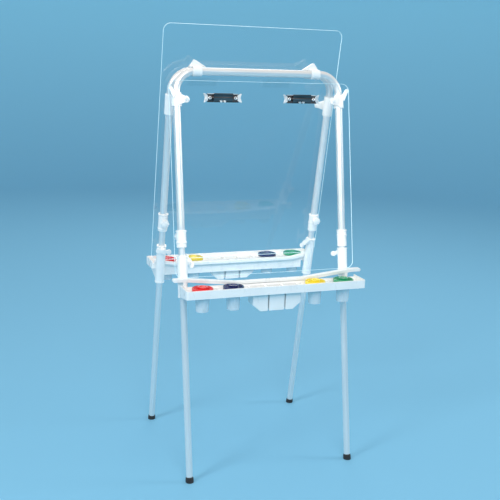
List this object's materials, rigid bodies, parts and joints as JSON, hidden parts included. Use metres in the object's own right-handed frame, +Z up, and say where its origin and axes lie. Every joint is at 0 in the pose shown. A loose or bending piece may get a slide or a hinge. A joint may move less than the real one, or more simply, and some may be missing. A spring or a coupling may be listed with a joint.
{
  "type": "children's easel",
  "caption": "Folding two-sided children's easel with clear drawing boards, telescopic tube legs, paper clips and trays of lidded paint pots.",
  "frame": {"origin": "on the floor, in the middle of the four feet", "axes": "+Z up, -Y towards the front board, +X to the right when facing the front"},
  "size_m": [0.676, 0.5514, 1.4756],
  "materials": {
    "tube": "satin anodised",
    "leg": "satin anodised",
    "rubber": "matt",
    "white_plastic": "moulded satin",
    "board": "clear sheet",
    "clip_metal": "dark chrome",
    "lever_metal": "chrome",
    "pot": "frosted clear",
    "lid_red": "gloss",
    "lid_navy": "gloss",
    "lid_yellow": "gloss",
    "lid_green": "gloss"
  },
  "bodies": {
    "front_frame": {"front_frame_tube": "tube", "front_left_lock": "white_plastic", "front_right_lock": "white_plastic", "left_hinge_link": "white_plastic", "right_hinge_link": "white_plastic", "front_board": "board", "front_board_clamps": "white_plastic", "front_board_bolts": "white_plastic", "clip_bodies": "clip_metal"},
    "rear_frame": {"rear_frame_tube": "tube", "rear_left_lock": "white_plastic", "rear_right_lock": "white_plastic", "rear_board": "board", "rear_board_clamps": "white_plastic", "rear_board_bolts": "white_plastic"},
    "front_tray": {"front_tray": "white_plastic", "front_tray_sleeves": "white_plastic"},
    "rear_tray": {"rear_tray": "white_plastic", "rear_tray_sleeves": "white_plastic"},
    "front_left_leg": {"front_left_leg": "leg", "front_left_foot": "rubber"},
    "front_right_leg": {"front_right_leg": "leg", "front_right_foot": "rubber"},
    "rear_left_leg": {"rear_left_leg": "leg", "rear_left_foot": "rubber"},
    "rear_right_leg": {"rear_right_leg": "leg", "rear_right_foot": "rubber"},
    "left_clip": {"left_clip_lever": "lever_metal"},
    "right_clip": {"right_clip_lever": "lever_metal"},
    "front_brush_box": {"front_brush_box": "white_plastic"},
    "rear_brush_box": {"rear_brush_box": "white_plastic"},
    "front_pot_1": {"front_pot_1": "pot"},
    "front_pot_2": {"front_pot_2": "pot"},
    "front_pot_3": {"front_pot_3": "pot"},
    "front_pot_4": {"front_pot_4": "pot"},
    "rear_pot_1": {"rear_pot_1": "pot"},
    "rear_pot_2": {"rear_pot_2": "pot"},
    "rear_pot_3": {"rear_pot_3": "pot"},
    "rear_pot_4": {"rear_pot_4": "pot"},
    "front_lid_1": {"front_lid_1": "lid_red"},
    "front_lid_2": {"front_lid_2": "lid_navy"},
    "front_lid_3": {"front_lid_3": "lid_yellow"},
    "front_lid_4": {"front_lid_4": "lid_green"},
    "rear_lid_1": {"rear_lid_1": "lid_red"},
    "rear_lid_2": {"rear_lid_2": "lid_yellow"},
    "rear_lid_3": {"rear_lid_3": "lid_navy"},
    "rear_lid_4": {"rear_lid_4": "lid_green"},
    "front_left_lock_knob": {"front_left_lock_knob": "white_plastic"},
    "front_right_lock_knob": {"front_right_lock_knob": "white_plastic"},
    "rear_left_lock_knob": {"rear_left_lock_knob": "white_plastic"},
    "rear_right_lock_knob": {"rear_right_lock_knob": "white_plastic"},
    "front_left_wing_knob": {"front_left_wing_knob": "white_plastic"},
    "front_right_wing_knob": {"front_right_wing_knob": "white_plastic"},
    "rear_left_wing_knob": {"rear_left_wing_knob": "white_plastic"},
    "rear_right_wing_knob": {"rear_right_wing_knob": "white_plastic"},
    "front_left_thumb_nut": {"front_left_thumb_nut": "white_plastic"},
    "front_right_thumb_nut": {"front_right_thumb_nut": "white_plastic"},
    "rear_left_thumb_nut": {"rear_left_thumb_nut": "white_plastic"},
    "rear_right_thumb_nut": {"rear_right_thumb_nut": "white_plastic"}
  },
  "joints": [
    {"name": "rear_fold", "type": "hinge", "parent": "front_frame", "child": "rear_frame", "pos_m": [0, 0.023, 1.325], "axis": [1, 0, 0], "range_deg": [-16.5, 0]},
    {"name": "front_left_leg_slide", "type": "slide", "parent": "front_frame", "child": "front_left_leg", "axis": [0, -0.1775, -0.9841], "range_m": [-0.25, 0]},
    {"name": "front_right_leg_slide", "type": "slide", "parent": "front_frame", "child": "front_right_leg", "axis": [0, -0.1775, -0.9841], "range_m": [-0.25, 0]},
    {"name": "rear_left_leg_slide", "type": "slide", "parent": "rear_frame", "child": "rear_left_leg", "axis": [0, 0.1775, -0.9841], "range_m": [-0.25, 0]},
    {"name": "rear_right_leg_slide", "type": "slide", "parent": "rear_frame", "child": "rear_right_leg", "axis": [0, 0.1775, -0.9841], "range_m": [-0.25, 0]},
    {"name": "front_tray_slide", "type": "slide", "parent": "front_frame", "child": "front_tray", "axis": [0, -0.1775, -0.9841], "range_m": [0, 0.25]},
    {"name": "rear_tray_slide", "type": "slide", "parent": "rear_frame", "child": "rear_tray", "axis": [0, 0.1775, -0.9841], "range_m": [0, 0.25]},
    {"name": "left_clip_open", "type": "hinge", "parent": "front_frame", "child": "left_clip", "pos_m": [-0.14, -0.06716, 1.24354], "axis": [1, 0, 0], "range_deg": [-20, 0], "stiffness_Nm_per_rad": 0.5, "springref_deg": 17.19},
    {"name": "right_clip_open", "type": "hinge", "parent": "front_frame", "child": "right_clip", "pos_m": [0.14, -0.06716, 1.24354], "axis": [1, 0, 0], "range_deg": [-20, 0], "stiffness_Nm_per_rad": 0.5, "springref_deg": 17.19},
    {"name": "front_brush_box_lift", "type": "slide", "parent": "front_tray", "child": "front_brush_box", "axis": [0, 0, 1], "range_m": [0, 0.12]},
    {"name": "rear_brush_box_lift", "type": "slide", "parent": "rear_tray", "child": "rear_brush_box", "axis": [0, 0, 1], "range_m": [0, 0.12]},
    {"name": "front_pot_1_lift", "type": "slide", "parent": "front_tray", "child": "front_pot_1", "axis": [0, 0, 1], "range_m": [0, 0.1]},
    {"name": "front_pot_2_lift", "type": "slide", "parent": "front_tray", "child": "front_pot_2", "axis": [0, 0, 1], "range_m": [0, 0.1]},
    {"name": "front_pot_3_lift", "type": "slide", "parent": "front_tray", "child": "front_pot_3", "axis": [0, 0, 1], "range_m": [0, 0.1]},
    {"name": "front_pot_4_lift", "type": "slide", "parent": "front_tray", "child": "front_pot_4", "axis": [0, 0, 1], "range_m": [0, 0.1]},
    {"name": "rear_pot_1_lift", "type": "slide", "parent": "rear_tray", "child": "rear_pot_1", "axis": [0, 0, 1], "range_m": [0, 0.1]},
    {"name": "rear_pot_2_lift", "type": "slide", "parent": "rear_tray", "child": "rear_pot_2", "axis": [0, 0, 1], "range_m": [0, 0.1]},
    {"name": "rear_pot_3_lift", "type": "slide", "parent": "rear_tray", "child": "rear_pot_3", "axis": [0, 0, 1], "range_m": [0, 0.1]},
    {"name": "rear_pot_4_lift", "type": "slide", "parent": "rear_tray", "child": "rear_pot_4", "axis": [0, 0, 1], "range_m": [0, 0.1]},
    {"name": "front_lid_1_lift", "type": "slide", "parent": "front_pot_1", "child": "front_lid_1", "axis": [0, 0, 1], "range_m": [0, 0.04]},
    {"name": "front_lid_2_lift", "type": "slide", "parent": "front_pot_2", "child": "front_lid_2", "axis": [0, 0, 1], "range_m": [0, 0.04]},
    {"name": "front_lid_3_lift", "type": "slide", "parent": "front_pot_3", "child": "front_lid_3", "axis": [0, 0, 1], "range_m": [0, 0.04]},
    {"name": "front_lid_4_lift", "type": "slide", "parent": "front_pot_4", "child": "front_lid_4", "axis": [0, 0, 1], "range_m": [0, 0.04]},
    {"name": "rear_lid_1_lift", "type": "slide", "parent": "rear_pot_1", "child": "rear_lid_1", "axis": [0, 0, 1], "range_m": [0, 0.04]},
    {"name": "rear_lid_2_lift", "type": "slide", "parent": "rear_pot_2", "child": "rear_lid_2", "axis": [0, 0, 1], "range_m": [0, 0.04]},
    {"name": "rear_lid_3_lift", "type": "slide", "parent": "rear_pot_3", "child": "rear_lid_3", "axis": [0, 0, 1], "range_m": [0, 0.04]},
    {"name": "rear_lid_4_lift", "type": "slide", "parent": "rear_pot_4", "child": "rear_lid_4", "axis": [0, 0, 1], "range_m": [0, 0.04]},
    {"name": "front_left_lock_knob_turn", "type": "hinge", "parent": "front_frame", "child": "front_left_lock_knob", "pos_m": [-0.29, -0.08845, 0.79317], "axis": [0, -0.9841, 0.1775], "continuous": true},
    {"name": "front_right_lock_knob_turn", "type": "hinge", "parent": "front_frame", "child": "front_right_lock_knob", "pos_m": [0.30026, -0.092, 0.78365], "axis": [-0.342, -0.9248, 0.1668], "continuous": true},
    {"name": "rear_left_lock_knob_turn", "type": "hinge", "parent": "rear_frame", "child": "rear_left_lock_knob", "pos_m": [-0.29, 0.08711, 0.80055], "axis": [0, 0.9841, 0.1775], "continuous": true},
    {"name": "rear_right_lock_knob_turn", "type": "hinge", "parent": "rear_frame", "child": "rear_right_lock_knob", "pos_m": [0.29, 0.08916, 0.78924], "axis": [0, 0.9841, 0.1775], "continuous": true},
    {"name": "front_left_wing_knob_turn", "type": "hinge", "parent": "front_tray", "child": "front_left_wing_knob", "pos_m": [-0.26402, -0.11759, 0.71612], "axis": [-0.866, -0.4921, 0.0888], "continuous": true},
    {"name": "front_right_wing_knob_turn", "type": "hinge", "parent": "front_tray", "child": "front_right_wing_knob", "pos_m": [0.29, -0.10282, 0.71346], "axis": [0, -0.9841, 0.1775], "continuous": true},
    {"name": "rear_left_wing_knob_turn", "type": "hinge", "parent": "rear_tray", "child": "rear_left_wing_knob", "pos_m": [-0.29, 0.10531, 0.69968], "axis": [0, 0.9841, 0.1775], "continuous": true},
    {"name": "rear_right_wing_knob_turn", "type": "hinge", "parent": "rear_tray", "child": "rear_right_wing_knob", "pos_m": [0.26281, 0.12236, 0.70276], "axis": [0.9063, 0.4159, 0.075], "continuous": true},
    {"name": "front_left_thumb_nut_turn", "type": "hinge", "parent": "front_frame", "child": "front_left_thumb_nut", "pos_m": [-0.262, -0.04729, 1.23539], "axis": [0, -0.9841, 0.1775], "continuous": true},
    {"name": "front_right_thumb_nut_turn", "type": "hinge", "parent": "front_frame", "child": "front_right_thumb_nut", "pos_m": [0.262, -0.04729, 1.23539], "axis": [0, -0.9841, 0.1775], "continuous": true},
    {"name": "rear_left_thumb_nut_turn", "type": "hinge", "parent": "rear_frame", "child": "rear_left_thumb_nut", "pos_m": [-0.256, 0.05075, 1.2162], "axis": [0, 0.9841, 0.1775], "continuous": true},
    {"name": "rear_right_thumb_nut_turn", "type": "hinge", "parent": "rear_frame", "child": "rear_right_thumb_nut", "pos_m": [0.256, 0.05075, 1.2162], "axis": [0, 0.9841, 0.1775], "continuous": true}
  ]
}
